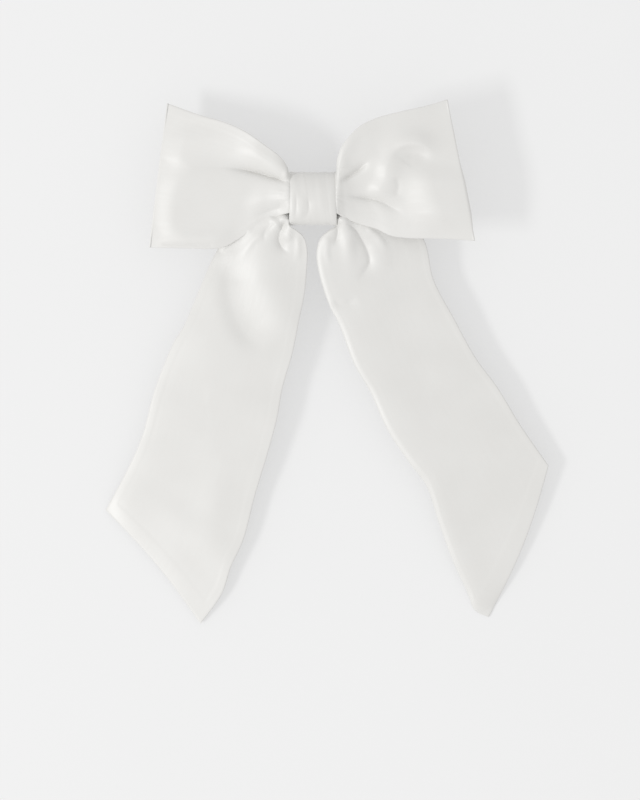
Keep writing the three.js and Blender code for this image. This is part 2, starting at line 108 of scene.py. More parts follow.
def through(pairs):
    """A smooth function through (place, value) pairs that never overshoots them."""
    x, y = np.array(pairs, float).T
    step = np.diff(x)
    slope = np.diff(y) / step
    tangent = np.zeros(len(x))
    same_way = slope[:-1] * slope[1:] > 0
    mean = 2 * slope[:-1] * slope[1:] / np.where(same_way, slope[:-1] + slope[1:], 1)
    tangent[1:-1] = np.where(same_way, mean, 0)
    tangent[0], tangent[-1] = slope[0], slope[-1]

    def value(at):
        at = np.clip(at, x[0], x[-1])
        k = np.clip(np.searchsorted(x, at) - 1, 0, len(step) - 1)
        t = (at - x[k]) / step[k]
        rise = (3 - 2 * t) * t * t
        bend_in = t * (1 - t) ** 2 * step[k] * tangent[k]
        bend_out = -t * t * (1 - t) * step[k] * tangent[k + 1]
        return y[k] + (y[k + 1] - y[k]) * rise + bend_in + bend_out

    return value


def beside(xy, line):
    """For each point: its distance to the line, on which side it is (1 is left), and how far along it is."""
    shape = xy.shape[:-1]
    flat = xy.reshape(-1, 2)
    start, step = line[:-1], np.diff(line, axis=0)
    length2 = (step ** 2).sum(1)
    best = np.full(len(flat), np.inf)
    side = np.ones(len(flat))
    along = np.zeros(len(flat))
    for k in range(len(start)):
        to = flat - start[k]
        t = np.clip(to @ step[k] / length2[k], 0, 1)
        d = np.linalg.norm(to - t[:, None] * step[k], axis=1)
        nearer = d < best
        best[nearer] = d[nearer]
        cross = step[k, 0] * to[:, 1] - step[k, 1] * to[:, 0]
        side[nearer] = np.where(cross[nearer] >= 0, 1.0, -1.0)
        along[nearer] = (k + t[nearer]) / len(start)
    return best.reshape(shape), side.reshape(shape), along.reshape(shape)


def tapered(along, ends):
    """1 along a line's middle, sinking to 0 at its start and its finish over the shares in ends."""
    fade_in, fade_out = ends
    return smoothstep(along, 0, fade_in) * smoothstep(1 - along, 0, fade_out)


def flanks(xy, points, widths):
    """For each point: its distance to the line, the width on its side of it, and how far along it is.
    widths are those to the line's left and to its right."""
    distance, side, along = beside(xy, route(points))
    return distance, np.where(side > 0, *widths), along


def ridge(xy, points, height, widths, ends):
    """A rounded fold along a line, or a rounded groove where height is below 0."""
    distance, width, along = flanks(xy, points, widths)
    return height * tapered(along, ends) * np.exp(-((distance / width) ** 2))


CREASE_ROUND = 0.4


def crease(xy, points, depth, widths, ends):
    """A sharp valley along a line: the cloth turns within CREASE_ROUND of its bottom."""
    distance, width, along = flanks(xy, points, widths)
    soft = np.sqrt(distance ** 2 + CREASE_ROUND ** 2) - CREASE_ROUND
    return -depth * tapered(along, ends) * np.exp(-soft / width)


def bank(xy, places, rise, width, reach, fades):
    """A slope up towards +X, width wide, that sinks back over reach beyond it. places are (y, x) pairs of
    its middle, and fades are the lengths over which it dies out at its low and its high end."""
    y = xy[..., 1]
    past = xy[..., 0] - through(places)(y)
    low, high = places[0][0], places[-1][0]
    inside = smoothstep(y, low, low + fades[0]) * (1 - smoothstep(y, high - fades[1], high))
    sinking = np.exp(-(np.maximum(past, 0) / reach) ** 2)
    return rise * inside * smoothstep(past, -width / 2, width / 2) * sinking


def bulge(xy, centre, radii, angle, height):
    """A rounded rise. angle turns its long side from +X, in degrees."""
    a = math.radians(angle)
    dx, dy = xy[..., 0] - centre[0], xy[..., 1] - centre[1]
    along = (dx * math.cos(a) + dy * math.sin(a)) / radii[0]
    across = (dy * math.cos(a) - dx * math.sin(a)) / radii[1]
    return height * np.exp(-(along ** 2 + across ** 2))


OCTAVES = 3
WAVES_AN_OCTAVE = 3
CRUMPLE_WAVES = 14


def ripple(x, seed):
    """A smooth random wave of about 1 cycle a unit, the same each run."""
    rng = np.random.default_rng(seed)
    total = np.zeros_like(np.asarray(x, float))
    for octave in range(OCTAVES):
        for _ in range(WAVES_AN_OCTAVE):
            cycles = 2 ** octave * rng.uniform(0.7, 1.4)
            total += np.sin(2 * math.pi * (x * cycles + rng.uniform())) / 2 ** octave
    return total / 4


def crumple(xy, seed, size):
    """A soft random height over the cloth, about 1 high, with bumps about as wide as size."""
    rng = np.random.default_rng(seed)
    total = np.zeros(xy.shape[:-1])
    for _ in range(CRUMPLE_WAVES):
        a = rng.uniform(0, 2 * math.pi)
        cycles = rng.uniform(0.5, 1.5) / size
        run = xy[..., 0] * math.cos(a) + xy[..., 1] * math.sin(a)
        total += np.sin(2 * math.pi * cycles * run + rng.uniform(0, 6))
    return total / 5


# ---- meshes ----

def new_object(name, verts, faces, uv=None):
    """A smooth mesh in the scene. verts are in metres."""
    mesh = bpy.data.meshes.new(name)
    mesh.from_pydata(verts.tolist(), [], faces)
    mesh.polygons.foreach_set("use_smooth", [True] * len(mesh.polygons))
    if uv is not None:
        layer = mesh.uv_layers.new(name="UVMap")
        index = np.zeros(len(mesh.loops), np.int32)
        mesh.loops.foreach_get("vertex_index", index)
        layer.data.foreach_set("uv", np.ascontiguousarray(uv[index], np.float32).ravel())
    mesh.validate()
    mesh.update()
    made = bpy.data.objects.new(name, mesh)
    bpy.context.scene.collection.objects.link(made)
    return made


def surface_normals(grid):
    along = np.gradient(grid, axis=0)
    across = np.gradient(grid, axis=1)
    n = np.cross(along, across)
    return n / np.maximum(np.linalg.norm(n, axis=2, keepdims=True), 1e-9)


RIM_ANGLES = (45, 90, 135)


def cloth(name, middle, thickness, flat_uv):
    """A closed sheet round a grid of middle points (rows, columns, 3) in mm, with rounded edges all round.
    thickness is in mm, one number or one for each point. flat_uv says where each point lies in the flat
    cloth."""
    rows, columns, _ = middle.shape
    half = np.broadcast_to(np.asarray(thickness, float), (rows, columns))[..., None] / 2
    normal = surface_normals(middle)
    top = (middle + normal * half).reshape(-1, 3)
    under = (middle - normal * half).reshape(-1, 3)
    index = np.arange(rows * columns).reshape(rows, columns)
    border = np.concatenate([index[0, :-1], index[:-1, -1], index[-1, :0:-1], index[:0:-1, 0]])
    flat_middle, flat_normal = middle.reshape(-1, 3), normal.reshape(-1, 3)
    before = flat_middle[np.roll(border, 1)]
    after = flat_middle[np.roll(border, -1)]
    way = after - before
    way /= np.maximum(np.linalg.norm(way, axis=1, keepdims=True), 1e-9)
    outward = np.cross(flat_normal[border], way)
    inner = np.concatenate([index[1, :-1], index[:-1, -2], index[-2, :0:-1], index[:0:-1, 1]])
    away = flat_middle[border] - flat_middle[inner]
    outward *= np.sign((outward * away).sum())
    border_half = half.reshape(-1, 1)[border]
    count = rows * columns
    verts = [top, under]
    rings = [border]
    for k, angle in enumerate(RIM_ANGLES):
        a = math.radians(angle)
        lift = flat_normal[border] * math.cos(a) + outward * math.sin(a)
        verts.append(flat_middle[border] + lift * border_half)
        rings.append(2 * count + k * len(border) + np.arange(len(border)))
    rings.append(border + count)
    corners = [index[:-1, :-1], index[1:, :-1], index[1:, 1:], index[:-1, 1:]]
    quads = np.stack(corners, axis=-1).reshape(-1, 4)
    faces = [quads, quads[:, ::-1] + count]
    for a, b in zip(rings[:-1], rings[1:]):
        faces.append(np.stack([a, np.roll(a, -1), np.roll(b, -1), b], axis=-1))
    uv = flat_uv.reshape(-1, 2)
    uvs = [uv, uv] + [uv[border]] * len(RIM_ANGLES)
    return new_object(name, np.vstack(verts) * MM, np.vstack(faces).tolist(), np.vstack(uvs) * MM)


def lengths_down(middle, column):
    """How far along the cloth each row lies, measured down one column of its middle points."""
    steps = np.linalg.norm(np.diff(middle[:, column], axis=0), axis=1)
    return np.concatenate([[0], np.cumsum(steps)])


def squared(wave, sharpness):
    """A cosine or sine bent towards a square, for a rounded box's outline."""
    return np.sign(wave) * np.abs(wave) ** sharpness


# ---- materials ----

def new_material(name):
    """A material, its node tree and its shader's sockets."""
    material = bpy.data.materials.new(name)
    material.use_nodes = True
    tree = material.node_tree
    return material, tree, tree.nodes["Principled BSDF"].inputs


def put(sockets, values):
    for name, value in values.items():
        sockets[name].default_value = value


def position(tree):
    return tree.nodes.new("ShaderNodeNewGeometry").outputs["Position"]


def stretched(tree, place, scale):
    """The place that a socket gives, scaled along each axis."""
    mapping = tree.nodes.new("ShaderNodeMapping")
    mapping.inputs["Scale"].default_value = scale
    tree.links.new(place, mapping.inputs["Vector"])
    return mapping.outputs["Vector"]


def noise(tree, place, **values):
    """A random value from 0 to 1 at the place that a socket gives."""
    texture = tree.nodes.new("ShaderNodeTexNoise")
    put(texture.inputs, values)
    tree.links.new(place, texture.inputs["Vector"])
    return texture.outputs["Fac"]


def spread(tree, factor, low, high):
    """A value from 0 to 1, mapped to low to high."""
    mapped = tree.nodes.new("ShaderNodeMapRange")
    put(mapped.inputs, {"To Min": low, "To Max": high})
    tree.links.new(factor, mapped.inputs["Value"])
    return mapped.outputs["Result"]


def tinted(tree, factor, low, high):
    """A colour between low and high."""
    mix = tree.nodes.new("ShaderNodeMix")
    mix.data_type = "RGBA"
    put(mix.inputs, {"A": (*low, 1), "B": (*high, 1)})
    tree.links.new(factor, mix.inputs["Factor"])
    return mix.outputs["Result"]


def bumps(tree, heights):
    """Bump nodes one after another, from (height socket, strength, distance in metres) items."""
    last = None
    for socket, strength, distance in heights:
        bump = tree.nodes.new("ShaderNodeBump")
        put(bump.inputs, {"Strength": strength, "Distance": distance})
        tree.links.new(socket, bump.inputs["Height"])
        if last is not None:
            tree.links.new(last, bump.inputs["Normal"])
        last = bump.outputs["Normal"]
    return last


def satin_material():
    """Ivory satin: long floats along the strip, a fine weave, slight slubs and a soft sheen."""
    material, tree, shader = new_material("ivory_satin")
    flat = tree.nodes.new("ShaderNodeUVMap")
    flat.uv_map = "UVMap"
    uv = flat.outputs["UV"]
    yarn = noise(tree, stretched(tree, uv, (5200, 700, 1)), Scale=1.0, Detail=2.0)
    slub = noise(tree, stretched(tree, uv, (420, 60, 1)), Scale=1.0, Detail=3.0)
    weft = noise(tree, stretched(tree, uv, (900, 6400, 1)), Scale=1.0, Detail=1.0)
    cloud = noise(tree, position(tree), Scale=55.0, Detail=3.0)
    colour = tinted(tree, cloud, (0.666, 0.658, 0.637), (0.706, 0.7, 0.682))
    normal = bumps(tree, [(slub, 0.25, 0.00025), (yarn, 0.35, 0.00006), (weft, 0.2, 0.00004)])
    tree.links.new(colour, shader["Base Color"])
    tree.links.new(spread(tree, slub, 0.36, 0.50), shader["Roughness"])
    tree.links.new(normal, shader["Normal"])
    put(shader, {"Sheen Weight": 0.25, "Sheen Roughness": 0.4})
    put(shader, {"Specular IOR Level": 0.55, "Anisotropic": 0.45})
    return material


def thread_material():
    """Matt ivory thread with a fine fibre."""
    material, tree, shader = new_material("ivory_thread")
    fibre = noise(tree, position(tree), Scale=2600.0, Detail=4.0)
    tree.links.new(tinted(tree, fibre, (0.60, 0.58, 0.53), (0.78, 0.76, 0.71)), shader["Base Color"])
    tree.links.new(bumps(tree, [(fibre, 0.5, 0.0001)]), shader["Normal"])
    put(shader, {"Roughness": 0.7, "Sheen Weight": 0.3})
    return material


def felt_material():
    """Matted ivory felt, a little patchy."""
    material, tree, shader = new_material("ivory_felt")
    matted = noise(tree, position(tree), Scale=900.0, Detail=6.0, Roughness=0.75)
    patchy = noise(tree, position(tree), Scale=120.0, Detail=3.0)
    tree.links.new(tinted(tree, matted, (0.52, 0.50, 0.45), (0.76, 0.74, 0.69)), shader["Base Color"])
    tree.links.new(bumps(tree, [(patchy, 0.3, 0.0004), (matted, 0.7, 0.0003)]), shader["Normal"])
    put(shader, {"Roughness": 0.95, "Sheen Weight": 0.5})
    return material


def metal_material(name, dark, light, rough, grain):
    """Plated or spring steel, drawn along X, with fine lines and faint smears."""
    material, tree, shader = new_material(name)
    lines = noise(tree, stretched(tree, position(tree), grain), Scale=1.0, Detail=4.0)
    smear = noise(tree, position(tree), Scale=160.0, Detail=4.0)
    tree.links.new(tinted(tree, lines, dark, light), shader["Base Color"])
    tree.links.new(spread(tree, smear, rough - 0.08, rough + 0.12), shader["Roughness"])
    tree.links.new(bumps(tree, [(lines, 0.12, 0.00005)]), shader["Normal"])
    put(shader, {"Metallic": 1.0, "Anisotropic": 0.5})
    return material


def floor_material():
    """A white table that glows a little, so that shadows on it stay pale."""
    material, tree, shader = new_material("white_table")
    grain = noise(tree, position(tree), Scale=9.0, Detail=5.0)
    tree.links.new(tinted(tree, grain, (0.335, 0.335, 0.335), (0.345, 0.345, 0.345)), shader["Base Color"])
    put(shader, {"Roughness": 0.8, "Specular IOR Level": 0.1})
    put(shader, {"Emission Color": (1, 1, 1, 1), "Emission Strength": 0.49})
    return material


SATIN = satin_material()
THREAD = thread_material()
FELT = felt_material()
PLATED = metal_material("plated_steel", (0.58, 0.58, 0.59), (0.72, 0.72, 0.73), 0.26, (300, 9000, 9000))
SPRING = metal_material("spring_steel", (0.44, 0.45, 0.47), (0.60, 0.61, 0.63), 0.32, (250, 12000, 12000))

SHEET_THICK = 0.6
HEM_STEP = 0.5


def hem(distance, width):
    """1 over the turned seam allowance along an edge and 0 inside it, with a soft step between."""
    return 1 - smoothstep(distance, width - HEM_STEP, width + HEM_STEP)


def dress(piece, material, body, slot, *replaced):
    """Gives a piece its material, and declares its body and the CAD nodes it replaces. slot is not used."""
    piece.data.materials.clear()
    piece.data.materials.append(material)
    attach(piece, body)
    if replaced:
        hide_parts(*replaced)


# ---- loops ----

LOOP_ROWS = 150
LOOP_COLUMNS = 88
FOLD_ROWS = 8
LOOP_WIDTH = 62
LOOP_HEM_WIDTH = 3.8
LOOP_HEM_EXTRA = 0.1

# The space between a loop's layers as (share of the way out, mm) pairs, the share of it that is left at the
# band's edges, and the smallest radius of the outer fold, in mm.
LOOP_GAP = [(0, 2.4), (0.12, 2.6), (0.3, 4.4), (0.6, 5), (0.85, 3.4), (1, 0.7)]
EDGE_GAP = 0.2
LEAST_FOLD = 0.3

# The room inside the knot's band is a rounded box over the neck. It sinks to its height at the drawn-in rim
# between RIM's two distances from the middle, and the cloth comes free of it between LET_GO's.
SQUARENESS = 2.1
NECK_MIDDLE = 16.6
NECK_HALF_WIDTH = 10.8
NECK_RISE = 7.4
NECK_RISE_AT_RIM = 7.15
RIM = (9.2, 10.2)
LET_GO = (9.3, 10.4)

GATHER_REACH = 7
GATHER_HEIGHT = 0.3
PLEATS_A_RADIAN = 1.9


def bowed(low, middle, high, u):
    """A smooth height across the band through its values at the bottom edge, the middle and the top edge."""
    return low * (1 - u) * (1 - 2 * u) + 4 * middle * u * (1 - u) + high * u * (2 * u - 1)


def necked(plan, z):
    """Heights held down inside the knot's band, whose edges are drawn in, and let go just outside it."""
    x, y = np.abs(plan[..., 0]), np.abs(plan[..., 1])
    rise = between(NECK_RISE, NECK_RISE_AT_RIM, smoothstep(x, *RIM))
    dome = np.maximum(1 - (y / NECK_HALF_WIDTH) ** SQUARENESS, 0) ** (1 / SQUARENESS)
    inside = NECK_MIDDLE + rise * dome
    return between(np.minimum(z, inside), z, smoothstep(x, *LET_GO))


def uneven_back(xy, out, seed):
    """The back layer's soft unevenness, which dies out at the waist and at the outer fold."""
    return 0.5 * smoothstep(out, 0.15, 0.4) * crumple(xy, seed, 22) * (1 - smoothstep(out, 0.85, 1))


def loop_piece(name, replaced, bottom, top, heights, relief, back_seed):
    """A band folded back on itself. bottom and top are its long edges in plan, from the waist to the outer
    fold. heights are the front layer's heights along its bottom edge, middle and top edge, as (share of the
    way out, mm) pairs, and relief adds the folds to it."""
    along = np.linspace(0, 1, LOOP_ROWS)
    up = np.linspace(0, 1, LOOP_COLUMNS)
    lower, upper = route(bottom, LOOP_ROWS), route(top, LOOP_ROWS)
    plan = lower[:, None, :] + (upper - lower)[:, None, :] * up[None, :, None]
    out, u = np.meshgrid(along, up, indexing="ij")
    low, middle, high = (through(pairs) for pairs in heights)
    base = bowed(low(out), middle(out), high(out), u)
    puff = between(EDGE_GAP, 1, (1 - (2 * u - 1) ** 2) ** 0.7)
    apart = through(LOOP_GAP)(out) * puff
    front_z = necked(plan, base + relief(plan, out))
    back_z = necked(plan, base) - apart + uneven_back(plan, out, back_seed)
    front_layer = np.dstack([plan, front_z])
    back_layer = np.dstack([plan, back_z])
    outward = plan[-1] - plan[-2]
    outward /= np.linalg.norm(outward, axis=1, keepdims=True)
    middle_z = (front_z[-1] + back_z[-1]) / 2
    radius = np.maximum((front_z[-1] - back_z[-1]) / 2, LEAST_FOLD)
    turn = np.linspace(math.pi / 2, -math.pi / 2, FOLD_ROWS + 2)[1:-1]
    fold = np.stack([
        np.column_stack([
            plan[-1] + outward * (radius * math.cos(t))[:, None],
            middle_z + radius * math.sin(t),
        ]) for t in turn
    ])
    sheet = np.concatenate([front_layer, fold, back_layer[::-1]])
    to_edge = np.minimum(u, 1 - u) * np.linalg.norm(upper - lower, axis=1)[:, None]
    hems = hem(to_edge, LOOP_HEM_WIDTH)
    layers = np.concatenate([hems, np.repeat(hems[-1:], FOLD_ROWS, axis=0), hems[::-1]])
    thickness = SHEET_THICK + LOOP_HEM_EXTRA * layers
    length = lengths_down(sheet, LOOP_COLUMNS // 2)
    flat = np.dstack(np.meshgrid(length, up * LOOP_WIDTH, indexing="ij"))[..., ::-1]
    piece = cloth(name, sheet, thickness, flat)
    dress(piece, SATIN, "bow", "satin", replaced)


def gathers(xy, centre, side, seed):
    """Small pleats that fan out from the knot and die away."""
    dx, dy = (xy[..., 0] - centre[0]) * side, xy[..., 1] - centre[1]
    angle = np.arctan2(dy, np.maximum(dx, 0.5))
    fading = GATHER_HEIGHT * np.exp(-np.hypot(dx, dy) / GATHER_REACH)
    return fading * ripple(angle * PLEATS_A_RADIAN, seed)


def left_loop():
    bottom = [(-1.5, -5.2), (-9.6, -6), (-13.2, -6.8), (-18.9, -9), (-25.1, -12.2), (-32, -17),
              (-38.3, -20.6), (-43.5, -21.7), (-56, -21.5), (-71.4, -21.1)]
    top = [(-1.5, 8.4), (-8.8, 9.2), (-10.6, 11), (-11.6, 13.8), (-14.5, 17.8), (-21.1, 22.9),
           (-29.9, 29), (-38.7, 33), (-49.7, 36.3), (-63.6, 41.4)]
    heights = (
        [(0, 21.2), (0.1, 22.6), (0.125, 22.2), (0.15, 21.2), (0.2, 19.4), (0.3, 18), (0.5, 16.4),
         (0.75, 16), (0.88, 15.6), (1, 14.4)],
        [(0, 22), (0.1, 24.2), (0.13, 24.8), (0.2, 24), (0.3, 22.4), (0.45, 20.8), (0.65, 20),
         (0.87, 19.2), (1, 17.4)],
        [(0, 19), (0.1, 21.4), (0.14, 22.8), (0.2, 24.2), (0.3, 25.6), (0.4, 25.6), (0.5, 24.6),
         (0.7, 21.4), (0.88, 18.2), (1, 15.8)],
    )

    def relief(xy, out):
        z = gathers(xy, (-6, 2), -1, 11)
        z += crease(xy, [(-8, 6.2), (-14, 8), (-20, 10), (-30, 12.6), (-40, 14), (-58, 13.8)],
                    2.4, (3.4, 4.6), (0.14, 0.7))
        z += crease(xy, [(-10, 6.8), (-15, 8.4), (-20, 10), (-29, 12.4), (-40, 14)],
                    1.8, (0.9, 1.5), (0.2, 0.5))
        z += ridge(xy, [(-9.5, 9.6), (-16, 13.4), (-24, 18.6), (-35, 24.6)], 1.3, (4.6, 4), (0.1, 0.5))
        z += ridge(xy, [(-10.5, 1.2), (-20, -0.6), (-32, -4)], 0.8, (3, 3.4), (0.2, 0.5))
        z += crease(xy, [(-10, -3), (-18, -5.2), (-27, -8.4)], 1.1, (1.8, 2), (0.25, 0.6))
        z += bank(xy, [(-20, -61), (-15, -63), (-9, -65.6), (-2, -66), (7, -63), (13.4, -58), (19, -62),
                       (26, -60.5), (34, -54)], 0.75, 10, 34, (6, 9))
        z += ridge(xy, [(-70, -17.6), (-55, -17.6), (-42, -17.2), (-34, -13.6)],
                   0.8, (2.6, 3.4), (0.4, 0.3))
        z += ridge(xy, [(-67, -19.8), (-55, -20.2), (-43, -20.3)], -0.35, (0.5, 0.5), (0.1, 0.1))
        z += 0.12 * smoothstep(out, 0.3, 0.6) * crumple(xy, 3, 24)
        return z

    loop_piece("left_loop_satin", "left_loop", bottom, top, heights, relief, 5)


def right_loop():
    bottom = [(1.5, -5.2), (9.6, -6), (14, -8.4), (20.7, -11), (28.2, -13.2), (34, -16), (40, -17),
              (50.2, -17.3), (62, -17.7), (70.4, -18.4)]
    top = [(1.5, 8.4), (8.8, 9.2), (10.4, 11), (10.6, 13.6), (10.9, 17), (12.8, 22.4), (16.3, 27),
           (20.7, 31.2), (28.2, 34.8), (38.3, 37.5), (50.2, 40.2), (58.4, 42.7)]
    heights = (
        [(0, 21.6), (0.1, 23.4), (0.125, 23.2), (0.15, 22), (0.2, 20.2), (0.3, 19.2), (0.5, 19.8),
         (0.75, 21.6), (1, 23.4)],
        [(0, 22), (0.1, 24.6), (0.13, 25), (0.22, 24.2), (0.34, 23.6), (0.5, 24), (0.7, 25.2),
         (0.88, 26), (1, 26.4)],
        [(0, 19), (0.1, 21.4), (0.14, 22.8), (0.2, 24.2), (0.3, 25.6), (0.5, 26.2), (0.75, 26.2),
         (1, 26.2)],
    )

    def relief(xy, out):
        z = gathers(xy, (6, 2), 1, 23)
        z += crease(xy, [(9, 5.4), (13, 7.8), (18, 11), (24, 16), (28, 18.4)], 1.5, (2.6, 3), (0.4, 0.5))
        z += crease(xy, [(11, 6.6), (15, 9), (20, 12.4), (24.4, 16.2)], 1.2, (1.1, 0.8), (0.35, 0.35))
        z += ridge(xy, [(23.5, -2), (28.5, 2.4), (32.4, 8.4), (33.2, 14), (35, 19), (38, 22)],
                   1.8, (4.2, 6.5), (0.3, 0.4))
        z += ridge(xy, [(32, 15), (35, 20.6), (40, 23.8), (46, 24), (51, 22), (55, 18)],
                   2.2, (5, 2), (0.6, 0.4))
        z += ridge(xy, [(38, 17.6), (42, 19), (47, 18.6), (52, 15.6)], -0.7, (1.8, 3.4), (0.4, 0.4))
        z += crease(xy, [(9.5, 2), (18, 1), (28, -0.6), (35, -4), (43, -9)],
                    1.3, (4.4, 3.4), (0.45, 0.4))
        z += crease(xy, [(14, 1.6), (20, 0.8), (28, -0.6), (33.4, -3), (39, -6.6)],
                    1.4, (1, 1.1), (0.4, 0.5))
        z += crease(xy, [(36, 10), (37.4, 5.6), (36, 0)], 0.6, (1.6, 2.2), (0.3, 0.3))
        z += bank(xy, [(-16, 51.6), (-6, 48.6), (1, 46), (8, 44.6), (17, 42.6)], 2.7, 16, 26, (10, 11))
        z += ridge(xy, [(11.5, 12), (12.6, 18), (15.6, 23.4), (21, 28.5)], 0.7, (1.8, 3.4), (0.1, 0.5))
        z += 0.12 * smoothstep(out, 0.3, 0.6) * crumple(xy, 8, 24)
        return z

    loop_piece("right_loop_satin", "right_loop", bottom, top, heights, relief, 9)


# ---- tails ----

TAIL_ROWS = 300
TAIL_COLUMNS = 96
TAIL_WIDTH = 52
TAIL_HEM_EXTRA = 0.15
END_HEM_WIDTH = 4.6
TABLE_CLEARANCE = 0.02

# The slanted end is nearer than the way along the strip, by about this share.
END_SLANT = 0.8

# The pace of rows that lie evenly along an edge.
EVEN = [(0, 0), (1, 1)]


def paced(points, pace):
    """Points along a route, one a row. pace says how far along it a share of the rows reaches."""
    line = route(points, 4 * TAIL_ROWS)
    at = through(pace)(np.linspace(0, 1, TAIL_ROWS))
    known = np.linspace(0, 1, len(line))
    return np.column_stack([np.interp(at, known, line[:, k]) for k in range(3)])


def tail_piece(name, replaced, left, right, paces, relief, end_bow, seams):
    """A turned strip between two edge routes (x, y, z), from the waist to the slanted end.
    The inner edge turns round the knot's corner, so paces lets its rows wait there for the outer edge.
    seams are the widths of the turned edges along the left and the right, in mm."""
    a_edge, b_edge = paced(left, paces[0]), paced(right, paces[1])
    along = np.linspace(0, 1, TAIL_ROWS)
    across = np.linspace(0, 1, TAIL_COLUMNS)
    v, u = np.meshgrid(along, across, indexing="ij")
    middle = a_edge[:, None] + (b_edge - a_edge)[:, None] * across[None, :, None]
    end = b_edge[-1] - a_edge[-1]
    outward = np.array([end[1], -end[0], 0.0])
    outward *= -np.sign(outward[1]) / np.linalg.norm(outward)
    middle = middle + outward * (end_bow * np.sin(math.pi * u) * v ** 8)[..., None]
    width = np.linalg.norm(b_edge - a_edge, axis=1)[:, None]
    lengths = [np.linalg.norm(np.diff(edge, axis=0), axis=1).sum() for edge in (a_edge, b_edge)]
    to_end = (1 - v) * between(*lengths, u) * END_SLANT
    side_hems = np.maximum(hem(u * width, seams[0]), hem((1 - u) * width, seams[1]))
    hems = np.maximum(side_hems, hem(to_end, END_HEM_WIDTH))
    middle[..., 2] += relief(middle[..., :2], v, u, u * width, to_end)
    thickness = SHEET_THICK + TAIL_HEM_EXTRA * hems
    middle[..., 2] = np.maximum(middle[..., 2], 0.5 * thickness + TABLE_CLEARANCE)
    flat = np.dstack([u * TAIL_WIDTH, v * between(*lengths, u)])
    piece = cloth(name, middle, thickness, flat)
    dress(piece, SATIN, "bow", "satin", replaced)


def shoulder(to_edge, height, width):
    """Cloth that droops towards an edge: height above it after a few widths."""
    return height * (1 - np.exp(-to_edge / width))


def left_tail():
    left = [(-1.5, 2, 16.4), (-9.5, 2.6, 17), (-20, 0, 16.6), (-32, -9, 14.4), (-42.2, -23.3, 12.2),
            (-49.7, -40, 11.6), (-56.8, -56.5, 10.8), (-60.6, -62.5, 10.2), (-69.1, -83.2, 8.8),
            (-75.2, -105.2, 6.6), (-81.6, -119.4, 4.8), (-91.1, -136.9, 2.2)]
    right = [(-1.5, -6, 16.6), (-8.6, -6.8, 17.2), (-10.6, -9, 18.8), (-10.5, -12, 19.6),
             (-7.2, -14.4, 19.6), (-4.1, -17.4, 18.6), (-2.8, -22.8, 17.4), (-3.1, -32, 16),
             (-4.1, -42.2, 15), (-6.4, -53.2, 14), (-9.2, -67.3, 13.6), (-13.8, -83.5, 12.6),
             (-16, -96, 11.8), (-20.7, -113.5, 10), (-25.6, -129.5, 8.6), (-31, -150, 6.8),
             (-36.5, -162, 6.4), (-40.4, -173.6, 4.6), (-49.6, -186.6, 2)]
    waits = [(0, 0), (0.045, 0.037), (0.108, 0.053), (0.193, 0.068), (0.25, 0.09), (0.293, 0.122),
             (0.4, 0.22), (0.54, 0.365), (1, 1)]
    droop = through([(0, 0), (0.1, 0.3), (0.2, 0.9), (0.34, 1.2), (0.42, 2), (0.55, 1.9), (0.7, 1.6),
                     (1, 1.4)])
    reach = through([(0, 4), (0.3, 4), (0.42, 11), (0.55, 9), (0.7, 6), (1, 5)])

    def relief(xy, v, u, to_left, to_end):
        z = shoulder(to_left, droop(v), reach(v)) * (1 - u ** 2)
        z += (shoulder(to_end, 1.5, 6) - 1.5) * (1 - 0.7 * u) * smoothstep(v, 0.5, 0.75)
        z += 0.4 * (1 - smoothstep(v, 0.06, 0.2)) * ripple(u * 2.6, 4)
        z += bulge(xy, (-13, -9), (4.4, 2.6), 25, 2.4)
        z += crease(xy, [(-11.6, -9), (-13.4, -12.4), (-14.9, -17.7), (-13, -22), (-9.4, -24.4)],
                    1.7, (1.3, 1.6), (0.15, 0.4))
        z += ridge(xy, [(-9.8, -9), (-10.4, -14), (-10.4, -19.6)], 0.8, (1.8, 1.8), (0.1, 0.3))
        z += crease(xy, [(-15, -9.4), (-18.4, -11.6), (-21.4, -15.4), (-20.6, -20)],
                    0.9, (1.1, 2), (0.3, 0.5))
        z += ridge(xy, [(-26, -11.4), (-35, -17.4), (-42.5, -22)], 0.8, (2.4, 3), (0.2, 0.2))
        z += ridge(xy, [(-19, -13), (-27, -19.4), (-32.4, -28)], 0.55, (1.5, 1.8), (0.3, 0.5))
        z += ridge(xy, [(-6.6, -15), (-6.4, -22), (-7.6, -30)], 0.45, (1.3, 1.6), (0.2, 0.5))
        z += ridge(xy, [(-15, -8.5), (-22.6, -16), (-22.2, -26), (-21, -34), (-16.5, -44), (-12, -54),
                        (-11, -66)], 1.6, (9, 8), (0.05, 0.25))
        z += ridge(xy, [(-37, -24), (-36.4, -32), (-36, -41), (-33.5, -51), (-28.5, -59.6), (-18, -66)],
                   -1.5, (8, 5), (0.25, 0.3))
        z += ridge(xy, [(-40, -109), (-43, -130), (-46, -158)], 0.5, (7, 8), (0.3, 0.3))
        z += 0.2 * smoothstep(v, 0.2, 0.4) * crumple(xy, 31, 30)
        return z

    tail_piece("left_tail_satin", "left_tail", left, right, (EVEN, waits), relief, -1.8, (3.2, 3.8))


